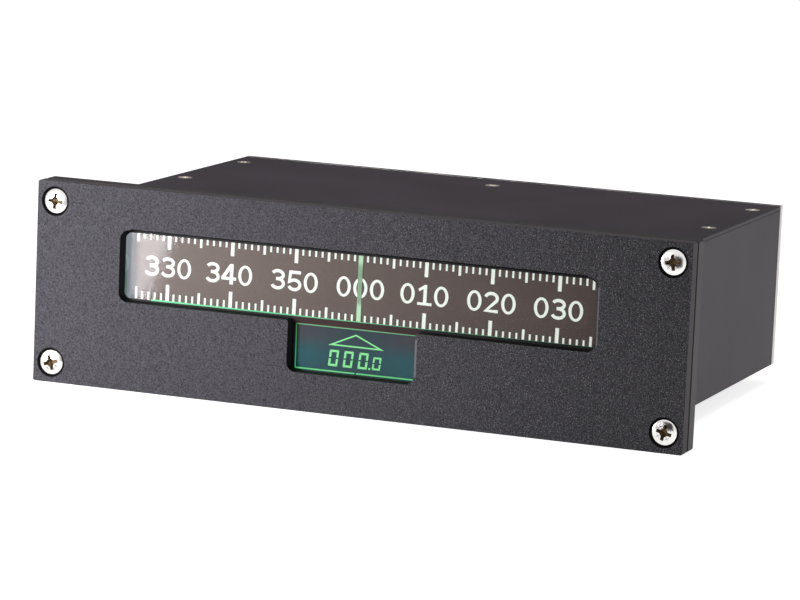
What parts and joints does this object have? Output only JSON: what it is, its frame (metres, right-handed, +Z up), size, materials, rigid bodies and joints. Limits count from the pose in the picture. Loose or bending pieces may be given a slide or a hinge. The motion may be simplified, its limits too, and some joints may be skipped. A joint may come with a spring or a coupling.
{
  "type": "compass heading repeater",
  "caption": "Panel-mounted heading repeater: a motor-driven perforated tape turns behind a wide window with a lubber line, above a small digital display.",
  "frame": {"origin": "middle of the mounting flange's rear face, the face that lands on the console", "axes": "+Y to the rear through the console, +Z up, +X to the right as seen from the front"},
  "size_m": [0.242, 0.1699, 0.072],
  "materials": {
    "textured_paint": "fine-textured matt charcoal paint",
    "gasket_rubber": "matt black",
    "satin_black": "smooth satin black",
    "bare_panel": "dark passivated, bare edges",
    "bright_screw": "bright nickel plate",
    "plated_steel": "zinc plated",
    "spring_steel": "ground",
    "gear_brass": "machined",
    "roller_plastic": "natural moulded",
    "tape_film": "matt dark brown film, white print",
    "pane_acrylic": "clear, anti-glare",
    "light_guide": "dark translucent red-brown",
    "lubber_green": "translucent green",
    "display_glass": "dark teal liquid-crystal glass",
    "dark_plastic": "moulded black",
    "white_plastic": "moulded white",
    "board_green": "green solder mask",
    "can_sleeve": "blue sleeve",
    "heat_sink": "black anodised",
    "motor_case": "black with bright end caps",
    "ribbon_grey": "grey flat cable"
  },
  "bodies": {
    "housing": {"front_plate": "textured_paint", "panel_gasket": "gasket_rubber", "mounting_flange": "satin_black", "base_tray": "satin_black", "top_cover": "satin_black", "rear_panel": "bare_panel", "console_screws": "bright_screw", "cover_screws": "bright_screw", "rear_screws": "bright_screw", "press_nuts": "plated_steel", "mechanism_deck": "plated_steel", "deck_pillars": "plated_steel", "cover_pillar": "plated_steel", "pillar_screws": "plated_steel", "motor_screws": "plated_steel", "display_screws": "plated_steel", "retaining_clips": "plated_steel", "spring_clamp": "plated_steel", "tension_spring": "spring_steel", "roller_posts": "spring_steel", "pivot_studs": "spring_steel", "drum_bush": "gear_brass", "earth_stud": "gear_brass", "earth_nuts": "gear_brass", "heading_tape": "tape_film", "tape_pane": "pane_acrylic", "light_bar": "light_guide", "lubber_line": "lubber_green", "display_glass": "display_glass", "display_holder": "dark_plastic", "backlight": "white_plastic", "display_board": "board_green", "control_board": "board_green", "processor": "dark_plastic", "regulator": "dark_plastic", "zero_sensor": "dark_plastic", "cable_headers": "dark_plastic", "connector_insulator": "dark_plastic", "capacitors": "can_sleeve", "heat_sink": "heat_sink", "stepper_motor": "motor_case", "flat_cable": "ribbon_grey", "signal_connector": "plated_steel", "jack_posts": "plated_steel", "board_spacers": "white_plastic"},
    "tape_drum": {"drive_drum": "roller_plastic", "drum_shaft": "spring_steel", "drum_gear": "gear_brass"},
    "front_left_roller": {"front_left_roller": "roller_plastic"},
    "front_right_roller": {"front_right_roller": "roller_plastic"},
    "rear_left_roller": {"rear_left_roller": "roller_plastic"},
    "left_return_roller": {"left_return_roller": "roller_plastic"},
    "right_return_roller": {"right_return_roller": "roller_plastic"},
    "tension_arm": {"tension_arm": "plated_steel", "tension_post": "spring_steel"},
    "tension_roller": {"tension_roller": "roller_plastic"},
    "idler_gear": {"idler_gear": "gear_brass"},
    "motor_rotor": {"motor_shaft": "spring_steel", "motor_pinion": "gear_brass"}
  },
  "joints": [
    {"name": "drum_turn", "type": "hinge", "parent": "housing", "child": "tape_drum", "pos_m": [0.0855, 0.12294, 0.008], "axis": [0, 0, 1], "continuous": true, "deforming": ["heading_tape"]},
    {"name": "front_left_turn", "type": "hinge", "parent": "housing", "child": "front_left_roller", "pos_m": [-0.0855, 0.00598, 0.008], "axis": [0, 0, 1], "continuous": true, "deforming": ["heading_tape"]},
    {"name": "front_right_turn", "type": "hinge", "parent": "housing", "child": "front_right_roller", "pos_m": [0.0855, 0.00598, 0.008], "axis": [0, 0, 1], "continuous": true, "deforming": ["heading_tape"]},
    {"name": "rear_left_turn", "type": "hinge", "parent": "housing", "child": "rear_left_roller", "pos_m": [-0.0855, 0.12294, 0.008], "axis": [0, 0, 1], "continuous": true, "deforming": ["heading_tape"]},
    {"name": "left_return_turn", "type": "hinge", "parent": "housing", "child": "left_return_roller", "pos_m": [-0.01655, 0.12622, 0.008], "axis": [0, 0, 1], "continuous": true, "deforming": ["heading_tape"]},
    {"name": "right_return_turn", "type": "hinge", "parent": "housing", "child": "right_return_roller", "pos_m": [0.01655, 0.12622, 0.008], "axis": [0, 0, 1], "continuous": true, "deforming": ["heading_tape"]},
    {"name": "arm_swing", "type": "hinge", "parent": "housing", "child": "tension_arm", "pos_m": [-0.026, 0.02432, -0.0088], "axis": [0, 0, 1], "range_deg": [-4, 4], "stiffness_Nm_per_rad": 0.25, "deforming": ["heading_tape", "tension_spring"]},
    {"name": "tension_roller_turn", "type": "hinge", "parent": "tension_arm", "child": "tension_roller", "pos_m": [0, 0.02432, 0.008], "axis": [0, 0, 1], "continuous": true, "deforming": ["heading_tape"]},
    {"name": "idler_turn", "type": "hinge", "parent": "housing", "child": "idler_gear", "pos_m": [0.08116, 0.09832, -0.016], "axis": [0, 0, 1], "continuous": true},
    {"name": "motor_turn", "type": "hinge", "parent": "housing", "child": "motor_rotor", "pos_m": [0.07569, 0.08328, -0.01], "axis": [0, 0, 1], "continuous": true}
  ],
  "couplings": [
    {"joint": "front_left_turn", "follows": "drum_turn", "ratio": 1},
    {"joint": "front_right_turn", "follows": "drum_turn", "ratio": 1},
    {"joint": "rear_left_turn", "follows": "drum_turn", "ratio": 1},
    {"joint": "left_return_turn", "follows": "drum_turn", "ratio": 1.3963},
    {"joint": "right_return_turn", "follows": "drum_turn", "ratio": 1.3963},
    {"joint": "tension_roller_turn", "follows": "drum_turn", "ratio": -1.3963},
    {"joint": "idler_turn", "follows": "drum_turn", "ratio": -1.5},
    {"joint": "motor_turn", "follows": "drum_turn", "ratio": 2.5}
  ]
}
